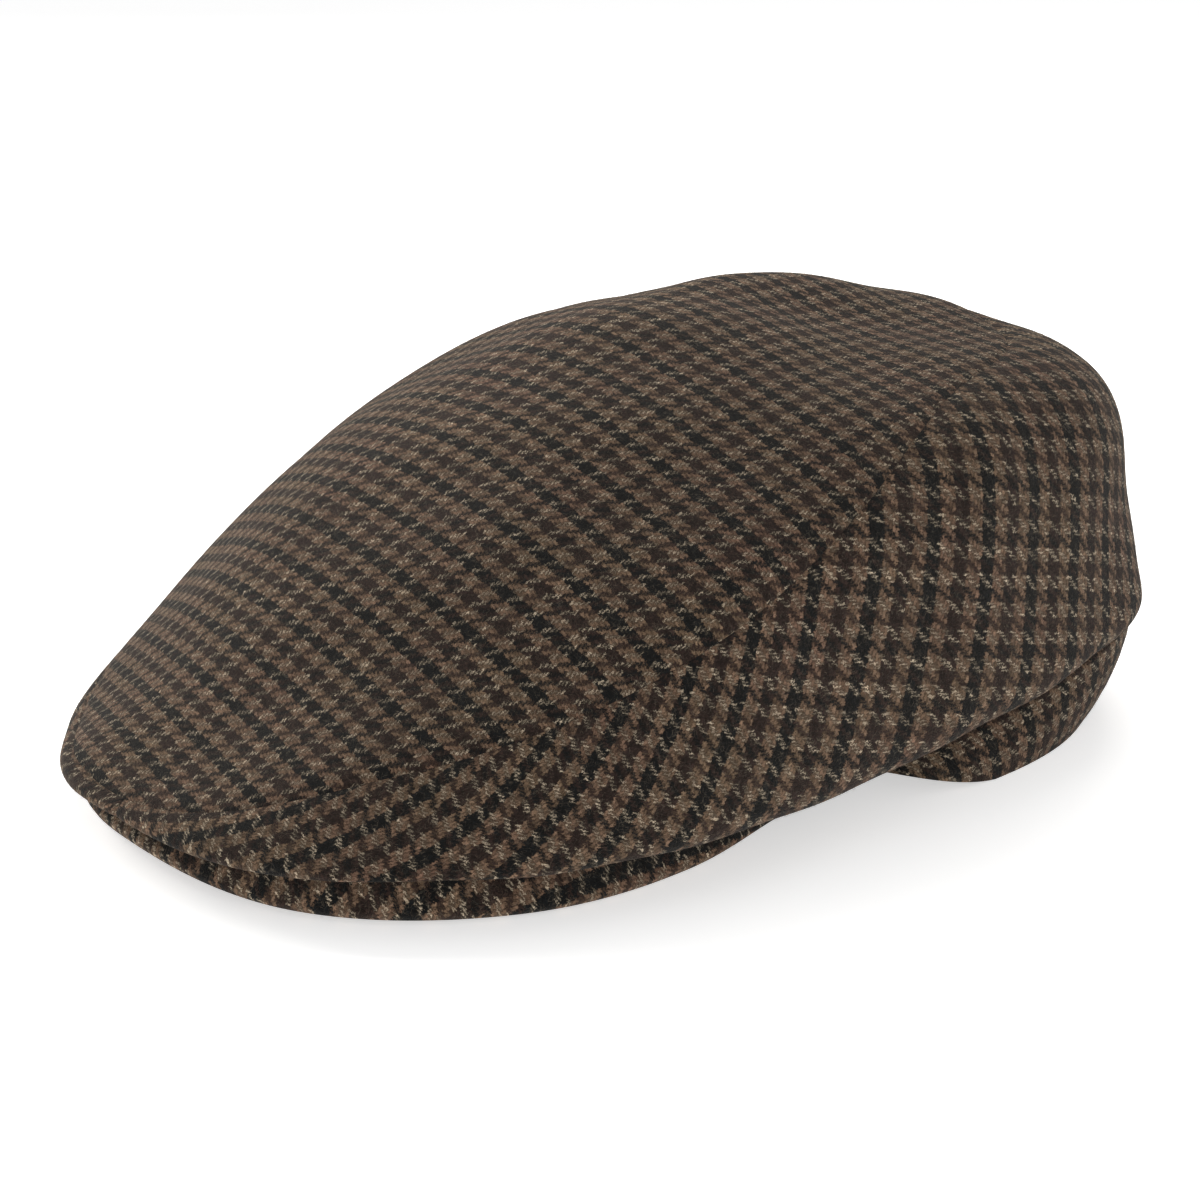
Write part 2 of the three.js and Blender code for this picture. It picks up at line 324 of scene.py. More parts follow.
@dataclass
class Patch:
    """A closed cloth shell: matching outer and inner grids, with the weave's coordinates."""

    outer: np.ndarray
    inner: np.ndarray
    weave: np.ndarray
    wraps: bool = False
    pole: tuple | None = None

    def outer_faces(self) -> np.ndarray:
        """Numbers of the faces that lie on the outer side."""
        rows, columns = self.outer.shape[:2]
        spans = rows if self.wraps else rows - 1
        block = 2 * (columns - 1) + (1 if self.pole is not None else 2)
        return (np.arange(spans)[:, None] * block + 2 * np.arange(columns - 1)).ravel()

    def mesh(self, name: str) -> bpy.types.Mesh:
        """Builds the shell as one closed mesh whose UVs are weave coordinates in millimetres.

        Args:
            name: the mesh's name.

        Returns:
            The new mesh.
        """
        rows, columns = self.outer.shape[:2]
        points = [self.outer.reshape(-1, 3), self.inner.reshape(-1, 3)]
        weave = [self.weave.reshape(-1, 2)] * 2
        size = rows * columns
        faces = []
        spans = rows if self.wraps else rows - 1
        for i in range(spans):
            a, b = i * columns, (i + 1) % rows * columns
            for j in range(columns - 1):
                ring = (a + j, a + j + 1, b + j + 1, b + j)
                faces.append(ring)
                faces.append(tuple(size + k for k in reversed(ring)))
            faces.append((a + columns - 1, size + a + columns - 1, size + b + columns - 1, b + columns - 1))
            if self.pole is None:
                faces.append((b, size + b, size + a, a))
        if not self.wraps:
            end = (rows - 1) * columns
            for j in range(columns - 1):
                faces.append((j, size + j, size + j + 1, j + 1))
                faces.append((end + j + 1, size + end + j + 1, size + end + j, end + j))
        if self.pole is not None:
            outer_pole, inner_pole, pole_weave = self.pole
            points += [outer_pole[None], inner_pole[None]]
            weave += [pole_weave[None], pole_weave[None]]
            for i in range(rows):
                a, b = i * columns, (i + 1) % rows * columns
                faces.append((2 * size, a, b))
                faces.append((2 * size + 1, size + b, size + a))
        return mesh_from(name, np.concatenate(points) * MM, faces, np.concatenate(weave))


def mesh_from(name: str, points: np.ndarray, faces: list, weave: np.ndarray) -> bpy.types.Mesh:
    """Makes a smooth mesh with one UV map.

    Args:
        name: the mesh's name.
        points: vertex positions in metres.
        faces: vertex indices of each face.
        weave: one UV pair for each vertex.

    Returns:
        The new mesh.
    """
    mesh = bpy.data.meshes.new(name)
    mesh.from_pydata(points.tolist(), [], faces)
    loops = np.empty(len(mesh.loops), dtype=np.int32)
    mesh.loops.foreach_get("vertex_index", loops)
    mesh.uv_layers.new(name="weave").data.foreach_set("uv", weave[loops].astype(np.float32).ravel())
    mesh.polygons.foreach_set("use_smooth", np.ones(len(mesh.polygons), dtype=bool))
    mesh.update()
    return mesh


class Flattening:
    """Lays a curved grid of cloth out flat with little stretch, and aligns it to the grain."""

    ROUNDS = 60

    def __init__(self, grid: np.ndarray, wraps: bool, pole: np.ndarray | None = None) -> None:
        """Keeps the grid, whether its rows run round, and its pole where it has one."""
        self.grid = grid
        self.wraps = wraps
        self.pole = pole

    def unwrapped(self) -> np.ndarray:
        """Flat positions of the grid's points, and of the pole last where there is one."""
        rows, columns = self.grid.shape[:2]
        points = self.grid.reshape(-1, 3)
        faces = []
        for i in range(rows if self.wraps else rows - 1):
            a, b = i * columns, (i + 1) % rows * columns
            faces += [(a + j, a + j + 1, b + j + 1, b + j) for j in range(columns - 1)]
        if self.pole is not None:
            points = np.vstack([points, self.pole])
            faces += [(rows * columns, i * columns, (i + 1) % rows * columns) for i in range(rows)]
        mesh = mesh_from("flattening", points * MM, faces, np.zeros((len(points), 2)))
        thing = bpy.data.objects.new("flattening", mesh)
        bpy.context.scene.collection.objects.link(thing)
        bpy.context.view_layer.objects.active = thing
        thing.select_set(True)
        bpy.ops.object.mode_set(mode="EDIT")
        bpy.ops.mesh.select_all(action="SELECT")
        bpy.ops.uv.unwrap(method="MINIMUM_STRETCH", fill_holes=False, iterations=self.ROUNDS, margin=0.0)
        bpy.ops.object.mode_set(mode="OBJECT")
        loops = np.empty(len(mesh.loops), dtype=np.int32)
        mesh.loops.foreach_get("vertex_index", loops)
        flat = np.empty(len(mesh.loops) * 2, dtype=np.float32)
        mesh.uv_layers[0].data.foreach_get("uv", flat)
        places = np.zeros((len(points), 2))
        places[loops] = flat.reshape(-1, 2)
        bpy.data.objects.remove(thing)
        bpy.data.meshes.remove(mesh)
        return places

    def weave(self, target: np.ndarray, chosen: np.ndarray) -> np.ndarray:
        """Flat positions in millimetres, turned so the grain follows a target.

        Args:
            target: wanted flat positions for every point, the pole last.
            chosen: which points the alignment is fitted to.

        Returns:
            Flat positions for every point.
        """
        flat = self.unwrapped()
        rows, columns = self.grid.shape[:2]
        steps = np.linalg.norm(np.diff(self.grid, axis=1), axis=-1).sum()
        body = flat[: rows * columns].reshape(rows, columns, 2)
        flat = flat * (steps / np.linalg.norm(np.diff(body, axis=1), axis=-1).sum())
        here, there = flat[chosen], target[chosen]
        u, _, v = np.linalg.svd((here - here.mean(0)).T @ (there - there.mean(0)))
        turn = u @ v
        return (flat - here.mean(0)) @ turn + there.mean(0)


def resample(grid: np.ndarray, row: np.ndarray, column: np.ndarray, wraps: bool) -> np.ndarray:
    """Cubic lookup in a grid at fractional rows and columns.

    Args:
        grid: values by row and column.
        row, column: where to read.
        wraps: whether the rows run round.

    Returns:
        The values, one for each place.
    """
    rows, columns = grid.shape[:2]
    if wraps:
        wide = np.concatenate([grid[-1:], grid, grid[:2]])
    else:
        wide = np.concatenate([2 * grid[:1] - grid[1:2], grid, 2 * grid[-1:] - grid[-2:-1]])
    before, after = 2 * wide[:, :1] - wide[:, 1:2], 2 * wide[:, -1:] - wide[:, -2:-1]
    wide = np.concatenate([before, wide, after], 1)
    r = np.clip(np.floor(row), 0, rows - 1 if wraps else rows - 2).astype(int)
    c = np.clip(np.floor(column), 0, columns - 2).astype(int)
    down, along = (row - r)[..., None], (column - c)[..., None]
    lines = [cubic(*(wide[r + k, c + m] for m in range(4)), along) for k in range(4)]
    return cubic(*lines, down)


def math_method(operation: str, flipped: bool = False) -> Callable:
    """A method of Signal that adds one Math node.

    Args:
        operation: the node's operation.
        flipped: whether the other value comes first.

    Returns:
        The method.
    """

    def method(self: "Signal", *other: "Signal | float") -> "Signal":
        """Adds the node."""
        return self.graph.math(operation, *((*other, self) if flipped else (self, *other)))

    return method


class Signal:
    """A shader value whose arithmetic adds Math nodes."""

    def __init__(self, graph: "Graph", socket: bpy.types.NodeSocket) -> None:
        """Keeps the socket that gives the value, and the graph it is in."""
        self.graph = graph
        self.socket = socket

    __add__ = __radd__ = math_method("ADD")
    __sub__ = math_method("SUBTRACT")
    __rsub__ = math_method("SUBTRACT", flipped=True)
    __mul__ = __rmul__ = math_method("MULTIPLY")
    __truediv__ = math_method("DIVIDE")
    __mod__ = math_method("FLOORED_MODULO")
    __lt__ = math_method("LESS_THAN")
    __abs__ = math_method("ABSOLUTE")
    floor = math_method("FLOOR")
    power = math_method("POWER")

    def clamped(self) -> "Signal":
        """The value held between 0 and 1."""
        return self.graph.math("ADD", self, 0.0, clamp=True)


class Tree:
    """A node tree, built one node at a time."""

    def __init__(self, tree: bpy.types.NodeTree) -> None:
        """Starts from an empty tree."""
        self.tree = tree
        self.tree.nodes.clear()

    def node(self, kind: str, settings: dict | None = None, **inputs: object) -> bpy.types.Node:
        """Adds a node.

        Args:
            kind: the node's type.
            settings: properties set before any socket.
            inputs: values or signals by socket name, with _ for a space, or by index as i0, i1.

        Returns:
            The new node.
        """
        node = self.tree.nodes.new(kind)
        for key, value in (settings or {}).items():
            setattr(node, key, value)
        for key, value in inputs.items():
            by_index = key[0] == "i" and key[1:].isdigit()
            socket = node.inputs[int(key[1:]) if by_index else key.replace("_", " ")]
            value = value.socket if isinstance(value, Signal) else value
            if isinstance(value, bpy.types.NodeSocket):
                self.tree.links.new(value, socket)
            else:
                socket.default_value = value
        return node


class Graph(Tree):
    """A material's node tree."""

    def __init__(self, name: str) -> None:
        """Makes the material."""
        self.material = bpy.data.materials.new(name)
        self.material.use_nodes = True
        super().__init__(self.material.node_tree)

    def math(self, operation: str, *values: Signal | float, clamp: bool = False) -> Signal:
        """One Math node on one or two values."""
        inputs = {f"i{k}": value for k, value in enumerate(values)}
        node = self.node("ShaderNodeMath", {"operation": operation, "use_clamp": clamp}, **inputs)
        return Signal(self, node.outputs[0])

    def mix(self, factor: Signal | float, first: Signal | tuple, second: Signal | tuple) -> Signal:
        """A colour between two colours."""
        kind = {"data_type": "RGBA", "clamp_factor": True}
        return Signal(self, self.node("ShaderNodeMix", kind, i0=factor, i6=first, i7=second).outputs[2])

    def blend(self, factor: Signal, first: Signal | float, second: Signal | float) -> Signal:
        """A number between two numbers."""
        node = self.node("ShaderNodeMix", {"data_type": "FLOAT"}, i0=factor, i2=first, i3=second)
        return Signal(self, node.outputs[0])

    def scaled(self, colour: Signal, factor: Signal | float) -> Signal:
        """A colour made lighter or darker."""
        kind = {"data_type": "RGBA", "blend_type": "MULTIPLY", "clamp_factor": False}
        grey = self.node("ShaderNodeCombineColor", {}, i0=factor, i1=factor, i2=factor)
        node = self.node("ShaderNodeMix", kind, i0=1.0, i6=colour, i7=grey.outputs[0])
        return Signal(self, node.outputs[2])

    def vector(self, x: Signal, y: Signal | float, z: Signal | float = 0.0) -> Signal:
        """A vector from three values."""
        return Signal(self, self.node("ShaderNodeCombineXYZ", {}, i0=x, i1=y, i2=z).outputs[0])

    def noise(self, place: Signal, scale: float, detail: float, roughness: float = 0.5) -> Signal:
        """Smooth noise from 0 to 1."""
        sizes = {"Scale": scale, "Detail": detail, "Roughness": roughness}
        return Signal(self, self.node("ShaderNodeTexNoise", {}, Vector=place, **sizes).outputs[0])

    def white(self, place: Signal) -> Signal:
        """A random number from 0 to 1 for each place."""
        node = self.node("ShaderNodeTexWhiteNoise", {"noise_dimensions": "3D"}, Vector=place)
        return Signal(self, node.outputs["Value"])

    def surface(self, **inputs: object) -> None:
        """Ends the tree with a Principled shader that has the given sockets."""
        shader = self.node("ShaderNodeBsdfPrincipled", {}, **inputs)
        self.node("ShaderNodeOutputMaterial", {}, Surface=shader.outputs[0])


class Twill(Enum):
    """Which way the twill line climbs across the cloth."""

    RIGHT = -1.0
    LEFT = 1.0


@dataclass(frozen=True)
class CheckWool:
    """Brushed wool twill in a gun-club check: tan, brown and black warp, with a paler weft.

    Lengths are in millimetres. Wander bends the threads over a few of them, and fray ruffles their edges.
    """

    thread: float = 0.82
    group: float = 4.0
    twill: Twill = Twill.LEFT
    black: tuple = (0.0044, 0.0056, 0.0062, 1.0)
    brown: tuple = (0.0240, 0.0145, 0.0118, 1.0)
    tan: tuple = (0.1420, 0.0930, 0.0580, 1.0)
    rust: tuple = (0.1380, 0.0800, 0.0540, 1.0)
    cream: tuple = (0.3700, 0.3050, 0.2200, 1.0)
    stray: tuple = (0.2000, 0.1650, 0.1250, 1.0)
    felt: tuple = (0.0620, 0.0460, 0.0340, 1.0)
    sheen_tint: tuple = (0.92, 0.84, 0.76, 1.0)
    wander: float = 1.6
    fray: float = 1.9
    relief: float = 0.22
    felt_share: float = 0.40
    roughness: float = 0.95
    specular: float = 0.14
    sheen: float = 0.05

    def dyed(self, g: Graph, index: Signal, light: Signal | tuple) -> tuple:
        """Colour of a thread by its place in the four-group repeat.

        Args:
            g: the material's graph.
            index: the thread's number.
            light: colour of the light groups.

        Returns:
            The thread's colour, and 1 where it is a dark thread.
        """
        group = (index / self.group).floor() % 4.0
        dark = (group % 2.0) < 0.5
        return g.mix(dark, light, g.mix(group < 1.0, self.brown, self.black)), dark

    def strays(self, g: Graph, u: Signal, v: Signal, slant: float, layer: float) -> Signal:
        """Thin curling fibres that lie on the cloth, 1 on a fibre and 0 off it.

        Args:
            g: the material's graph.
            u, v: weave coordinates in millimetres.
            slant: how far the fibres lean.
            layer: a number that tells the layers apart.

        Returns:
            The fibres' mask.
        """
        field = g.noise(g.vector(u + v * slant, v * 0.45 - u * slant * 0.3, layer), 0.95, 1.0)
        gap = g.noise(g.vector(v, u, layer + 4.0), 0.5, 1.0)
        line = 1.0 - abs(field - 0.5) * 38.0
        return line.clamped() * ((gap - 0.42) * 5.0).clamped()

    def threads(self, g: Graph, u: Signal, v: Signal) -> tuple:
        """Thread coordinates, where 1 is one thread, with the yarn's wander and fray.

        Args:
            g: the material's graph.
            u, v: weave coordinates in millimetres.

        Returns:
            The coordinates across the warp and across the weft.
        """
        place, turned = g.vector(u, v), (g.vector(v, u, 7.0), g.vector(v, u, 19.0))
        wander_u, wander_v = (g.noise(p, 0.30, 2.0) - 0.5 for p in (place, turned[0]))
        fray_u, fray_v = (g.noise(p, 2.1, 2.0, 0.6) - 0.5 for p in (place, turned[1]))
        x = (u + wander_u * self.wander + fray_u * self.fray) / self.thread
        y = (v + wander_v * self.wander + fray_v * self.fray) / self.thread
        return x, y

    def yarn(self, g: Graph, u: Signal, v: Signal) -> tuple:
        """The woven yarns: each float's dye with painted shade between threads and a painted highlight on
        their crests, its roundness and its fibres.

        Args:
            g: the material's graph.
            u, v: weave coordinates in millimetres.

        Returns:
            The yarn's colour, its height from 0 to 1 and its fibres from 0 to 1.
        """
        x, y = self.threads(g, u, v)
        i, j = x.floor(), y.floor()
        lean = self.twill.value
        warp_up = ((i + j * lean) % 4.0) < 2.0
        along_warp = ((i + y * lean) % 4.0) / 2.0
        along_weft = ((x + j * lean) % 4.0) / 2.0 - 1.0
        across = g.blend(warp_up, y - j, x - i)
        along = g.blend(warp_up, along_weft, along_warp).clamped()
        thread_index = g.blend(warp_up, j + 913.0, i)
        each_float = g.white(g.vector(i, j, 9.0))
        each_thread = g.white(g.vector(thread_index, 3.0, 5.0))
        drift = ((g.noise(g.vector(u, v, 3.0), 0.035, 2.0) - 0.35) * 3.0).clamped()
        warp, _ = self.dyed(g, i, g.mix(drift, self.tan, self.rust))
        weft, weft_dark = self.dyed(g, j, self.cream)
        # Only a thin crest of each pale weft float shows its dye and the rest takes the darker under colour:
        # a painted highlight along the crest with painted shade beside it; dark wefts keep a wide crest.
        width = g.blend(weft_dark, 0.85, 1.75) + (each_float - 0.5) * 0.5
        crest = (width - abs(across * 2.0 - 1.0) * 2.0).clamped()
        # under is the warp and weft mixed in the gap beside a crest, darkened as painted shade.
        under = g.scaled(g.mix(0.12, warp, weft), 0.75)
        tone = g.mix(warp_up, g.mix(crest, under, weft), warp)
        round_across = 1.0 - (across * 2.0 - 1.0).power(2.0)
        round_along = 1.0 - (along * 2.0 - 1.0).power(4.0)
        height = round_across * (0.35 + round_along * 0.65)
        run = g.blend(warp_up, x, y)
        streaks = g.noise(g.vector(run * 0.8, across * 3.0, thread_index * 3.7), 1.0, 3.0, 0.7)
        fibres = ((streaks - 0.5) * 2.0 + 0.5).clamped()
        # depth darkens each thread where it is low and lightens its top: painted shade between threads and a
        # painted highlight on their crests. light multiplies that by the fibres' and each thread's and
        # float's own tone.
        depth = g.blend(warp_up, 0.45 + 0.80 * height, 0.30 + 1.05 * height)
        light = depth * (0.45 + 1.10 * fibres) * (0.80 + 0.40 * each_thread) * (0.68 + 0.64 * each_float)
        return g.scaled(tone, light), height, fibres

    def material(self, name: str, shade: float = 1.0) -> bpy.types.Material:
        """Builds the cloth's material.

        Args:
            name: the material's name.
            shade: a factor on the piece's colour; above 1 it is painted light.

        Returns:
            The new material.
        """
        g = Graph(name)
        uv = g.node("ShaderNodeUVMap", {"uv_map": "weave"})
        split = g.node("ShaderNodeSeparateXYZ", {}, i0=uv.outputs[0])
        u, v = Signal(g, split.outputs[0]), Signal(g, split.outputs[1])
        place = g.vector(u, v)
        yarn, height, fibres = self.yarn(g, u, v)
        patches = g.noise(place, 0.022, 2.0)
        # Large soft patches of tone, times shade, which on the peak is painted light.
        yarn = g.scaled(yarn, (0.88 + 0.24 * patches) * shade)
        hair = self.strays(g, u, v, 0.35, 11.0) * 0.30 + self.strays(g, u, v, -0.8, 23.0) * 0.26
        fuzz = g.noise(place, 3.2, 3.0, 0.7)
        felted = ((fuzz - 0.5) * 2.6).clamped() * self.felt_share + 0.01
        colour = g.mix(hair.clamped(), g.mix(felted, yarn, self.felt), self.stray)
        relief = height * 0.8 + fibres * 0.35 + fuzz * 0.30 + hair * 0.5
        bump = g.node("ShaderNodeBump", {}, Strength=0.8, Distance=self.relief * MM, Height=relief)
        g.surface(
            Base_Color=colour,
            Roughness=self.roughness,
            Normal=bump.outputs[0],
            Specular_IOR_Level=self.specular,
            Sheen_Weight=self.sheen,
            Sheen_Roughness=0.5,
            Sheen_Tint=self.sheen_tint,
        )
        return g.material


@dataclass(frozen=True)
class Lay:
    """How a flat piece lies on the checked cloth, with the give of the cloth as it was steamed to shape.

    Turn (degrees), scale and shift (millimetres) place the piece. Past ease_at the cloth is eased along the
    piece and bends. Lean slants the columns about the waist, sway curves the rows, and crest_ease widens
    the check along the crest.
    """

    turn: float = 0.0
    scale: tuple = (1.0, 1.0)
    shift: tuple = (0.0, 0.0)
    eased: tuple = (0.0, 0.0)
    ease_at: float = 0.0
    ease_over: float = 14.0
    bend: float = 0.0
    lean: tuple = (0.0, 0.0)
    sway: float = 0.0
    crest_ease: float = 0.0
    crest_at: float = -6.0
    crest_over: float = 20.0
    waist: float = 0.0
    mirrored: bool = False

    def pattern(self, flat: np.ndarray) -> np.ndarray:
        """Pattern coordinates of flat positions.

        Args:
            flat: positions on the piece laid flat, in millimetres.

        Returns:
            Positions on the check, in millimetres.
        """
        side = -1.0 if self.mirrored else 1.0
        c, n = math.cos(math.radians(self.turn)), math.sin(math.radians(self.turn))
        u, v = flat[..., 0] * side, flat[..., 1]
        a, b = c * u - n * v, n * u + c * v
        share = (self.ease_at - a) / self.ease_over
        past = self.ease_over * np.logaddexp(0, share)
        over = b - self.waist
        across = a * self.scale[0] - self.eased[0] * past - self.sway * a * b
        across = across - (self.lean[0] + self.lean[1] * a + self.bend * past) * over
        up = over * (self.scale[1] + self.eased[1] / (1 + np.exp(-share)))
        up = up + self.sway * a * a / 2 - self.bend * past * past / 2
        up = up - self.crest_ease * self.crest_over * np.tanh((b - self.crest_at) / self.crest_over)
        return np.stack([side * across, up], -1) + np.array(self.shift)


@dataclass(frozen=True)
class Fuzz:
    """Short loose wool fibres that stand off the cloth."""

    INPUTS = (
        ("Geometry", "Geometry"),
        ("Per square metre", "Float"),
        ("Length", "Float"),
        ("Radius", "Float"),
        ("Seed", "Int"),
        ("Wool", "Material"),
    )
    length: float = 0.8
    radius: float = 0.018
    dark: tuple = (0.035, 0.027, 0.022, 1.0)
    pale: tuple = (0.230, 0.180, 0.130, 1.0)

    def material(self) -> bpy.types.Material:
        """The fibres' material, from dark to pale by each fibre's own tint."""
        g = Graph("wool_fibre")
        tint = g.node("ShaderNodeAttribute", {"attribute_name": "tint", "attribute_type": "GEOMETRY"})
        colour = g.mix(Signal(g, tint.outputs["Fac"]), self.dark, self.pale)
        g.surface(Base_Color=colour, Roughness=0.9, Specular_IOR_Level=0.2)
        return g.material

    def tree(self) -> bpy.types.NodeTree:
        """The node tree that scatters the fibres over the faces marked as outside."""
        t = Tree(bpy.data.node_groups.new("wool_fuzz", "GeometryNodeTree"))
        for name, kind in self.INPUTS:
            t.tree.interface.new_socket(name, in_out="INPUT", socket_type=f"NodeSocket{kind}")
        t.tree.interface.new_socket("Geometry", in_out="OUTPUT", socket_type="NodeSocketGeometry")
        cloth, density, length, radius, seed, wool = t.node("NodeGroupInput").outputs[: len(self.INPUTS)]
        outside = t.node("GeometryNodeInputNamedAttribute", {"data_type": "BOOLEAN"}, Name="outside")
        spread = t.node(
            "GeometryNodeDistributePointsOnFaces",
            {"distribute_method": "RANDOM"},
            Mesh=cloth,
            Selection=outside.outputs[0],
            i4=density,
            Seed=seed,
        )
        bow = {"Start": (0.0, 0.0, -0.1), "Middle": (0.3, 0.0, 0.5), "End": (0.95, 0.0, 0.3)}
        strand = t.node("GeometryNodeCurveQuadraticBezier", {}, Resolution=2, **bow)
        slim = t.node("ShaderNodeMath", {"operation": "DIVIDE"}, i0=radius, i1=length)
        by_radius = {"mode": "RADIUS"}
        thick = t.node("GeometryNodeCurvePrimitiveCircle", by_radius, Resolution=3, i4=slim.outputs[0])
        ends = {"Curve": strand.outputs[0], "Profile_Curve": thick.outputs[0], "Fill_Caps": True}
        hair = t.node("GeometryNodeCurveToMesh", {}, **ends)
        swing = t.node(
            "FunctionNodeRandomValue",
            {"data_type": "FLOAT_VECTOR"},
            i0=(-0.4, -0.3, 0.0),
            i1=(0.4, 0.5, 6.283),
            Seed=3,
        )
        turned = t.node("FunctionNodeEulerToRotation", {}, i0=swing.outputs[0])
        upright = spread.outputs["Rotation"]
        local = {"rotation_space": "LOCAL"}
        aimed = t.node("FunctionNodeRotateRotation", local, i0=upright, i1=turned.outputs[0])
        grown = t.node("FunctionNodeRandomValue", {"data_type": "FLOAT"}, i2=0.35, i3=1.3, Seed=5)
        size = t.node("ShaderNodeMath", {"operation": "MULTIPLY"}, i0=grown.outputs[1], i1=length)
        planted = t.node(
            "GeometryNodeInstanceOnPoints",
            {},
            Points=spread.outputs["Points"],
            Instance=hair.outputs[0],
            Rotation=aimed.outputs[0],
            Scale=size.outputs[0],
        )
        shade = t.node("FunctionNodeRandomValue", {"data_type": "FLOAT"}, i2=0.0, i3=1.0, Seed=7)
        each = {"data_type": "FLOAT", "domain": "INSTANCE"}
        tint = {"Name": "tint", "Value": shade.outputs[1]}
        named = t.node("GeometryNodeStoreNamedAttribute", each, i0=planted.outputs[0], **tint)
        real = t.node("GeometryNodeRealizeInstances", {}, i0=named.outputs[0])
        painted = t.node("GeometryNodeSetMaterial", {}, i0=real.outputs[0], Material=wool)
        t.node("NodeGroupOutput", {}, i0=painted.outputs[0])
        return t.tree

    def grow(
        self, cloth: bpy.types.Object, outside: np.ndarray, density: float, seed: int
    ) -> bpy.types.Object:
        """Grows the fibres of one piece as a plain mesh.

        Args:
            cloth: the piece they grow on.
            outside: which faces carry fibres.
            density: fibres for each square millimetre.
            seed: random seed.

        Returns:
            The object that holds the fibres.
        """
        host = bpy.data.objects.new(f"{cloth.name}_fuzz", cloth.data.copy())
        bpy.context.scene.collection.objects.link(host)
        host.data.attributes.new("outside", "BOOLEAN", "FACE").data.foreach_set("value", outside)
        wool = self.material()
        modifier = host.modifiers.new("fuzz", "NODES")
        modifier.node_group = self.tree()
        values = {
            "Per square metre": density / MM**2,
            "Length": self.length * MM,
            "Radius": self.radius * MM,
            "Seed": seed,
            "Wool": wool,
        }
        for item in modifier.node_group.interface.items_tree:
            if item.in_out == "INPUT" and item.name in values:
                modifier[item.identifier] = values[item.name]
        graph = bpy.context.evaluated_depsgraph_get()
        grown = bpy.data.meshes.new_from_object(host.evaluated_get(graph))
        host.modifiers.remove(modifier)
        old = host.data
        host.data = grown
        bpy.data.meshes.remove(old)
        host.data.name = host.name
        if not host.data.materials:
            host.data.materials.append(wool)
        return host


@dataclass
class ClothPiece:
    """A piece of the cap: its CAD node, its mesh and its cloth.

    Flat (metres) and area (square metres) are those of the cloth laid out; a stiff piece has none. They are
    not used.
    """

    node: str
    form: CrownForm
    wool: CheckWool
    lay: Lay = Lay()
    # A factor on the piece's colour; above 1, as on the peak, it is painted light.
    shade: float = 1.0
    fuzz: float = 0.3
    flat: tuple | None = None
    area: float = 0.0

    def patch(self) -> Patch:
        """The piece's shell."""
        raise NotImplementedError

    def build(self) -> bpy.types.Object:
        """Makes the piece, dresses it and ties it to the frame."""
        patch = self.patch()
        patch.weave = self.lay.pattern(patch.weave)
        if patch.pole is not None:
            patch.pole = (*patch.pole[:2], self.lay.pattern(patch.pole[2]))
        piece = bpy.data.objects.new(f"{self.node}_cloth", patch.mesh(f"{self.node}_cloth"))
        bpy.context.scene.collection.objects.link(piece)
        piece.data.materials.append(self.wool.material(f"{self.node}_wool", self.shade))
        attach(piece, "root")
        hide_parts(self.node)
        outside = np.zeros(len(piece.data.polygons), dtype=bool)
        outside[patch.outer_faces()] = True
        centres = np.empty(3 * len(outside))
        piece.data.polygons.foreach_get("center", centres)
        outside &= centres[2::3] > FUZZ_CLEAR * MM
        nap = Fuzz().grow(piece, outside, self.fuzz, SEED + len(self.node))
        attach(nap, "root")
        LOG.info("%s: %d faces, nap %d faces", piece.name, len(piece.data.polygons), len(nap.data.polygons))
        return piece


@dataclass
class CrownPanel(ClothPiece):
    """A panel of the crown, made of sections that run outward from the pole."""

    turns: int = 288
    rings: int = 62
    flat_turns: int = 72
    flat_rings: int = 14

    def span(self, turn: np.ndarray) -> tuple:
        """Quarter values where the sections start and end."""
        raise NotImplementedError

    def places(self, length: float) -> np.ndarray:
        """Distances of a section's points from its start."""
        raise NotImplementedError

    def flat_places(self, length: float) -> np.ndarray:
        """Distances of the fewer points that are laid flat."""
        return np.linspace(0, length, self.flat_rings + 1)

    def sections(self, turn: np.ndarray, places: Callable) -> tuple:
        """Places of the panel's points.

        Args:
            turn: the sections' angles.
            places: gives the points' distances from a section's length.

        Returns:
            Each point's angle, quarter value and distance, and the sections' lengths as a column.
        """
        found = [self.form.quarters_along(*row, places) for row in zip(turn, *self.span(turn))]
        quarter = np.array([q for q, _ in found])
        length = np.array([n for _, n in found])
        spaced = np.array([places(n) for n in length])
        return np.repeat(turn[:, None], quarter.shape[1], 1), quarter, spaced, length[:, None]


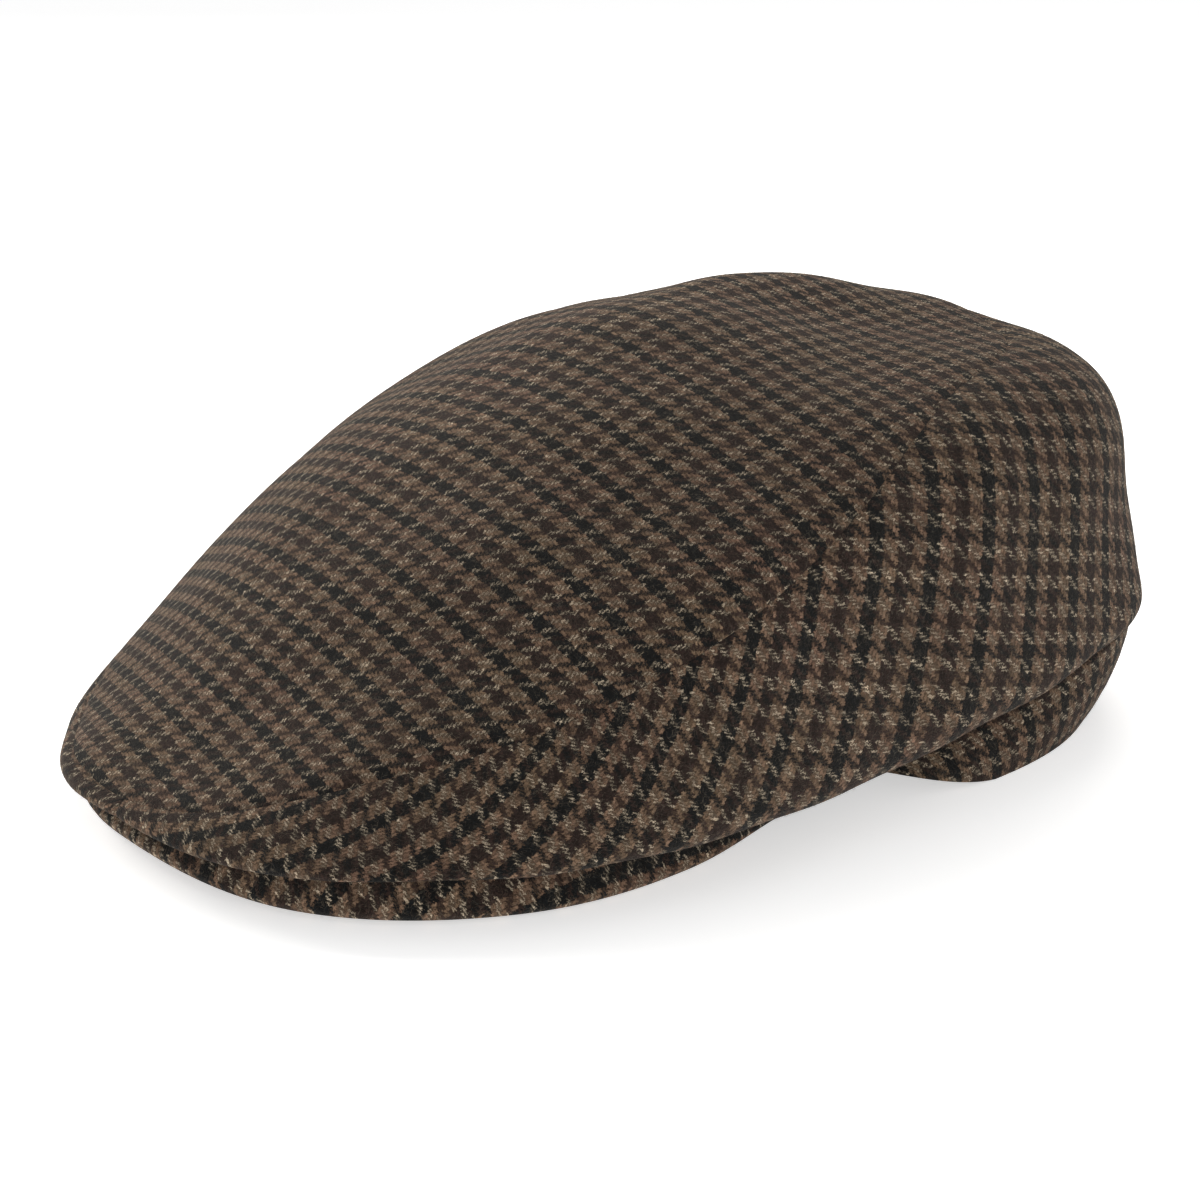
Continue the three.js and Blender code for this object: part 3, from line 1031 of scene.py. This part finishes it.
@dataclass
class TopPanel(CrownPanel):
    """The one-piece top panel."""

    flat: tuple | None = (0.186, 0.258)
    area: float = 0.0376
    grain_reach: float = 70.0

    def span(self, turn: np.ndarray) -> tuple:
        """From the pole to the seam."""
        return 0 * turn, self.form.seam(turn)

    def places(self, length: float) -> np.ndarray:
        """Distances from the pole, which is a point of its own."""
        return edge_spacing(length - SEAM_GAP, self.rings, False, True)[1:]

    def flat_places(self, length: float) -> np.ndarray:
        """Distances from the pole of the fewer points that are laid flat."""
        return super().flat_places(length)[1:]

    def patch(self) -> Patch:
        """The panel from the pole out to its seam."""
        form = self.form
        turn = np.arange(self.turns) * 360 / self.turns
        turns, quarter, spaced, length = self.sections(turn, self.places)
        points = form.surface(turns, quarter)
        normal = form.normal(turns, quarter, form.surface)
        drop = valley(length - SEAM_GAP - spaced)
        weave, pole_weave = self.weave(turns, spaced / length)
        top = form.surface(np.zeros(1), np.zeros(1))[0]
        inner_top = top - np.array([0.0, 0.0, CLOTH])
        outer, inner = points - normal * drop[..., None], points - normal * CLOTH
        return Patch(outer, inner, weave, True, (top, inner_top, pole_weave))

    def weave(self, turns: np.ndarray, share: np.ndarray) -> tuple:
        """Weave coordinates of the panel laid flat, and those of the pole.

        Args:
            turns: angles of the panel's points.
            share: how far each point is from the pole (0) to the seam (1).

        Returns:
            Flat positions of the points and of the pole, in millimetres.
        """
        turn = np.arange(self.flat_turns) * 360 / self.flat_turns
        grid = self.form.smooth(*self.sections(turn, self.flat_places)[:2])
        pole = self.form.smooth(np.zeros(1), np.zeros(1))
        points = np.vstack([grid.reshape(-1, 3), pole])
        near = np.linalg.norm(points[:, :2] - pole[0, :2], axis=1) < self.grain_reach
        flat = Flattening(grid, True, pole).weave(points[:, :2], near)
        body = flat[:-1].reshape(self.flat_turns, self.flat_rings, 2)
        centre = np.repeat(flat[-1][None, None], self.flat_turns, 0)
        across = np.roll(body[:, :1], self.flat_turns // 2, 0)
        lookup = np.concatenate([across, centre, body], 1)
        row, column = turns / 360 * self.flat_turns, 1 + share * self.flat_rings
        return resample(lookup, row, column, True), flat[-1]


@dataclass
class SidePanel(CrownPanel):
    """A side panel from the centre front to the centre back."""

    END_ROWS = (0.0, 0.05, 0.13, 0.26, 0.45)
    TUCK_FROM = 2.3
    TUCK_OVER = 0.5
    THINNEST = 0.05
    GRAIN_FROM = 75
    GRAIN_TO = 120
    flat: tuple | None = (0.095, 0.375)
    area: float = 0.0217
    first_turn: float = 0.0
    turns: int = 220
    rings: int = 50
    flat_turns: int = 48
    flat_rings: int = 10

    @property
    def side(self) -> float:
        """1 on the wearer's left and -1 on the right."""
        return 1.0 if self.first_turn < 90 else -1.0

    def turn_places(self) -> np.ndarray:
        """Turns along the panel, close together at the centre seams."""
        close = np.array(self.END_ROWS)
        middle = np.linspace(close[-1], 180 - close[-1], self.turns)[1:-1]
        return self.first_turn + np.concatenate([close, middle, 180 - close[::-1]])

    def span(self, turn: np.ndarray) -> tuple:
        """From the seam to the rim."""
        return self.form.seam(turn), 0 * turn + self.form.RIM

    def places(self, length: float) -> np.ndarray:
        """Distances from the seam with the top panel."""
        return SEAM_GAP + edge_spacing(length - SEAM_GAP, self.rings, True, True)

    def clear_of_centre(self, points: np.ndarray) -> np.ndarray:
        """Points held on the panel's own side of the centre seams."""
        held = points.copy()
        held[..., 0] = self.side * np.maximum(self.side * points[..., 0], SEAM_GAP / 2)
        return held

    def patch(self) -> Patch:
        """The panel from its seam down to the rim."""
        form = self.form
        turns, quarter, spaced, length = self.sections(self.turn_places(), self.places)
        points = self.clear_of_centre(form.surface(turns, quarter))
        normal = form.normal(turns, quarter, form.surface)
        rim = rounding(length - spaced)
        seam = valley(np.minimum(spaced - SEAM_GAP, np.abs(points[..., 0]) - SEAM_GAP / 2))
        outer = points - normal * np.maximum(rim, seam)[..., None]
        tuck = np.clip((quarter - self.TUCK_FROM) / self.TUCK_OVER, 0, 1)
        wall = np.maximum(CLOTH - TUCK_THIN * tuck - rim, rim + self.THINNEST)
        inner = points - normal * wall[..., None]
        weave = self.weave(turns, spaced / length)
        return Patch(self.clear_of_centre(outer), self.clear_of_centre(inner), weave)

    def weave(self, turns: np.ndarray, share: np.ndarray) -> np.ndarray:
        """Weave coordinates of the panel laid flat.

        Args:
            turns: angles of the panel's points.
            share: how far each point is from the seam (0) to the rim (1).

        Returns:
            Flat positions of the points, in millimetres.
        """
        turn = self.first_turn + np.linspace(0, 180, self.flat_turns + 1)
        flat_turns, quarter, _, _ = self.sections(turn, self.flat_places)
        grid = self.form.smooth(flat_turns, quarter)
        points = grid.reshape(-1, 3)
        target = np.stack([self.side * points[:, 1], points[:, 2]], -1)
        from_front = np.abs(turns_from(flat_turns.ravel(), 0.0))
        middle = (from_front > self.GRAIN_FROM) & (from_front < self.GRAIN_TO)
        flat = Flattening(grid, False).weave(target, middle).reshape(*grid.shape[:2], 2)
        row = (turns - self.first_turn) / 180 * self.flat_turns
        return resample(flat, row, share * self.flat_rings, False)


@dataclass
class Peak(ClothPiece):
    """The stiff peak with its cloth cover."""

    PEAK_TURN = 80.0
    LIP = 6.5
    LIP_CURL = 1.6
    LIP_SHARE = 0.35
    RISE = 1.6
    BOARD = 3.4
    GAP = 0.4
    END_THIN = 0.45
    END_TURNS = 16
    TURN_STEP = 0.2
    SHARE_STEP = 0.004
    turns: int = 200
    rings: int = 40

    def column(self, name: str, turn: np.ndarray) -> np.ndarray:
        """One peak table column at the given angles."""
        values = np.array([getattr(row, name) for row in PEAK])
        last = len(PEAK) - 1
        place = np.clip(np.abs(turn) / (self.PEAK_TURN / last), 0, last - 1e-6)
        row = np.floor(place).astype(int)
        near = [values[np.minimum(np.abs(row + k), last)] for k in (-1, 0, 1, 2)]
        return cubic(*near, place - row)

    def middle(self, turn: np.ndarray, share: np.ndarray) -> np.ndarray:
        """The board's middle surface from its root (0) to its edge (1)."""
        edge, crest = self.column("edge", turn), self.column("crest_z", turn)
        root = mirrored_column(BAND, "face", turn) + self.GAP
        lip = np.minimum(self.LIP, 0.5 * (edge - root))
        inward = np.clip(1 - share / (1 - self.LIP_SHARE), 0, 1)
        out = np.clip((share - 1 + self.LIP_SHARE) / self.LIP_SHARE, 0, 1)
        radius = edge - lip - (edge - lip - root) * inward + lip * out
        fall = (self.column("edge_z", turn) - crest) * out**self.LIP_CURL
        z = crest + self.RISE * np.sin(np.pi / 2 * inward) + fall
        return self.form.polar(turn, radius, z)

    def patch(self) -> Patch:
        """The covered board, rounded at its outer edge."""
        turn = np.linspace(-self.PEAK_TURN, self.PEAK_TURN, self.turns)
        bend, half_rings = 1 - self.LIP_SHARE, self.rings // 2
        share = np.concatenate([np.linspace(0, bend, half_rings), np.linspace(bend, 1, half_rings)[1:]])
        turns, shares = np.meshgrid(turn, share, indexing="ij")
        points = self.middle(turns, shares)
        around = self.middle(turns + self.TURN_STEP, shares) - self.middle(turns - self.TURN_STEP, shares)
        after, before = np.minimum(shares + self.SHARE_STEP, 1), np.maximum(shares - self.SHARE_STEP, 0)
        normal = np.cross(self.middle(turns, after) - self.middle(turns, before), around)
        normal /= np.linalg.norm(normal, axis=-1, keepdims=True)
        steps = np.linalg.norm(np.diff(points, axis=1), axis=-1)
        run = np.concatenate([np.zeros((len(turn), 1)), np.cumsum(steps, 1)], 1)
        from_edge = run[:, -1:] - run
        half = self.BOARD / 2
        near = np.clip(half - from_edge, 0, half * 0.999)
        from_end = np.clip((self.PEAK_TURN - np.abs(turns)) / self.END_TURNS, 0, 1)
        thick = np.sqrt(half**2 - near**2) * (self.END_THIN + (1 - self.END_THIN) * from_end)
        angle = np.radians(turns)
        radius = np.linalg.norm(points[..., :2] - [0, self.form.POLE_Y], axis=-1)
        stretch = self.column("edge", turns) - radius - from_edge
        outward = np.stack([np.sin(angle), -np.cos(angle)], -1)
        weave = points[..., :2] + outward * stretch[..., None]
        return Patch(points + normal * thick[..., None], points - normal * thick[..., None], weave)


@dataclass
class Band(ClothPiece):
    """The cloth band round the head opening."""

    RIM_CLEAR = 0.8
    SWELL_DROP = 2.8
    BELLY = 2.2
    BELLY_DEPTH = 22.0
    BELLY_SHARES = (0.2, 0.4, 0.6, 0.8)
    BEND_RISE = 2.0
    SWELL_RISE = 1.0
    flat: tuple | None = (0.60, 0.038)
    area: float = 0.0131
    turns: int = 300
    rings: int = 26

    def profile(self, turn: np.ndarray) -> tuple:
        """Radii and heights from the upper edge, past the bend and the swell, to the lower edge."""
        names = ("face", "top_z", "swell", "foot", "foot_z")
        face, top, swell, foot, foot_z = (mirrored_column(BAND, name, turn) for name in names)
        foot_z = np.maximum(foot_z, 0.0)
        rim_z = self.form.column("rim_z", turn)
        bend_z = np.maximum(rim_z - self.RIM_CLEAR, foot_z + self.BEND_RISE)
        swell_z = np.maximum(rim_z - self.SWELL_DROP, foot_z + self.SWELL_RISE)
        share = np.array(self.BELLY_SHARES)
        belly = self.BELLY * np.minimum((swell_z - foot_z) / self.BELLY_DEPTH, 1)[:, None]
        bulge = swell[:, None] + (foot - swell)[:, None] * share + belly * 4 * share * (1 - share)
        bulge_z = swell_z[:, None] + (foot_z - swell_z)[:, None] * share
        radii = np.column_stack([face, face, swell, bulge, foot])
        return radii, np.column_stack([top, bend_z, swell_z, bulge_z, foot_z])

    def patch(self) -> Patch:
        """The ring, rounded along both edges."""
        turn = np.arange(self.turns) * 360 / self.turns
        radii, heights = self.profile(turn)
        lengths = np.hypot(np.diff(radii), np.diff(heights))
        total = lengths.sum(1)
        down = np.array([edge_spacing(n, self.rings, True, True) for n in total])
        knots = np.concatenate([np.zeros((self.turns, 1)), np.cumsum(lengths, 1)], 1)
        radius = np.array([np.interp(d, k, r) for d, k, r in zip(down, knots, radii)])
        height = np.array([np.interp(d, k, z) for d, k, z in zip(down, knots, heights)])
        drop = rounding(np.minimum(down, total[:, None] - down))
        turns = np.repeat(turn[:, None], down.shape[1], 1)
        outer = self.form.polar(turns, radius - drop, height)
        inner = self.form.polar(turns, radius - CLOTH + drop, height)
        ring = self.form.polar(turn, radii[:, 2], 0 * turn)
        run = np.cumsum(np.linalg.norm(ring - np.roll(ring, 1, 0), axis=-1))
        weave = np.stack([np.repeat(run[:, None], down.shape[1], 1), -down], -1)
        return Patch(outer, inner, weave, True)


@dataclass(frozen=True)
class Studio:
    """Floor, light and camera."""

    WARM = (1.0, 0.965, 0.915)
    WHITE = (1.0, 1.0, 1.0)
    LAMP_AIM = (0.0, 0.0, 0.05)
    azimuth: float = 51.35
    elevation: float = 17.46
    distance: float = 600.0
    target: tuple = (0.0, -2.45, 35.5)
    pixels_per_mm: float = 4.09
    centre_px: tuple = (616.35, 593.76)
    frame_px: float = 1200.0
    floor_half: float = 6.0
    floor_glow: float = 0.54
    room: float = 0.50

    def camera(self) -> None:
        """Places the camera where the photograph was taken from."""
        a, e = math.radians(self.azimuth), math.radians(self.elevation)
        back = Vector((math.sin(a) * math.cos(e), -math.cos(a) * math.cos(e), math.sin(e)))
        data = bpy.data.cameras.new("photo_camera")
        data.sensor_width = 36.0
        data.lens = self.pixels_per_mm * self.distance / self.frame_px * data.sensor_width
        data.shift_x = (self.frame_px / 2 - self.centre_px[0]) / self.frame_px
        data.shift_y = (self.centre_px[1] - self.frame_px / 2) / self.frame_px
        data.clip_start, data.clip_end = 0.02, 50.0
        camera = bpy.data.objects.new("photo_camera", data)
        camera.location = (Vector(self.target) + back * self.distance) * MM
        camera.rotation_mode = "QUATERNION"
        camera.rotation_quaternion = (-back).to_track_quat("-Z", "Y")
        bpy.context.scene.collection.objects.link(camera)
        bpy.context.scene.camera = camera

    def floor(self) -> None:
        """Lays a plain pale floor."""
        mesh = bpy.data.meshes.new("floor")
        far = self.floor_half
        mesh.from_pydata([(-far, -far, 0), (far, -far, 0), (far, far, 0), (-far, far, 0)], [], [(0, 1, 2, 3)])
        g = Graph("floor_paint")
        white, grey = (1.0, 1.0, 1.0, 1.0), (0.88, 0.88, 0.88, 1.0)
        g.surface(Base_Color=grey, Roughness=0.9, Emission_Color=white, Emission_Strength=self.floor_glow)
        mesh.materials.append(g.material)
        floor = bpy.data.objects.new("floor", mesh)
        bpy.context.scene.collection.objects.link(floor)

    def area(self, name: str, place: tuple, size: float, power: float, tint: tuple) -> None:
        """Adds one soft lamp aimed at the cap."""
        data = bpy.data.lights.new(name, "AREA")
        data.size, data.energy, data.color = size, power, tint
        lamp = bpy.data.objects.new(name, data)
        lamp.location = place
        aim = Vector(self.LAMP_AIM) - lamp.location
        lamp.rotation_mode = "QUATERNION"
        lamp.rotation_quaternion = aim.to_track_quat("-Z", "Y")
        bpy.context.scene.collection.objects.link(lamp)

    def light(self) -> None:
        """Soft light from above and behind, from the camera's side and along the left, in a bright room."""
        world = bpy.data.worlds.new("studio")
        world.use_nodes = True
        sky = world.node_tree.nodes["Background"]
        sky.inputs["Color"].default_value = (1.0, 1.0, 1.0, 1.0)
        sky.inputs["Strength"].default_value = self.room
        bpy.context.scene.world = world
        bpy.context.scene.view_settings.view_transform = "Standard"
        self.area("key", (-0.8, 0.8, 1.2), 1.2, 20.0, self.WARM)
        self.area("fill", (1.5, -0.7, 0.45), 1.2, 6.3, self.WHITE)
        self.area("rim", (-1.4, -0.4, 0.7), 0.6, 15.0, self.WARM)

    def build(self) -> None:
        """Sets the whole studio up."""
        self.camera()
        self.floor()
        self.light()


def main() -> None:
    """Builds the cap and the studio."""
    logging.basicConfig(level=logging.INFO, format="%(message)s")
    form, wool = CrownForm(Ripple()), CheckWool()
    top_lay = Lay(turn=87.4, scale=(1.20, 1.19), sway=0.0017, crest_ease=0.36)
    side_lay = Lay(
        turn=14.5,
        scale=(0.70, 1.04),
        shift=(3.0, 5.0),
        eased=(0.58, 0.20),
        ease_at=-46.0,
        ease_over=11.0,
        bend=0.005,
        lean=(0.05, -0.003),
        waist=35.0,
    )
    right_lay = replace(side_lay, mirrored=True)
    peak_lay = Lay(shift=(2.0, 8.0), scale=(1.05, 1.05))
    band_lay = Lay(shift=(0.0, 4.0))
    pieces = [
        TopPanel("crown_top", form, wool, top_lay, fuzz=0.20),
        SidePanel("side_left", form, wool, side_lay, fuzz=0.28),
        SidePanel("side_right", form, wool, right_lay, fuzz=0.28, first_turn=180.0),
        # The peak's wool is the same cloth made lighter, as painted light on the peak.
        Peak("peak", form, wool, peak_lay, shade=1.18, fuzz=0.22),
        Band("band", form, wool, band_lay, fuzz=0.28),
    ]
    for piece in pieces:
        piece.build()
    Studio().build()


if __name__ == "__main__":
    main()
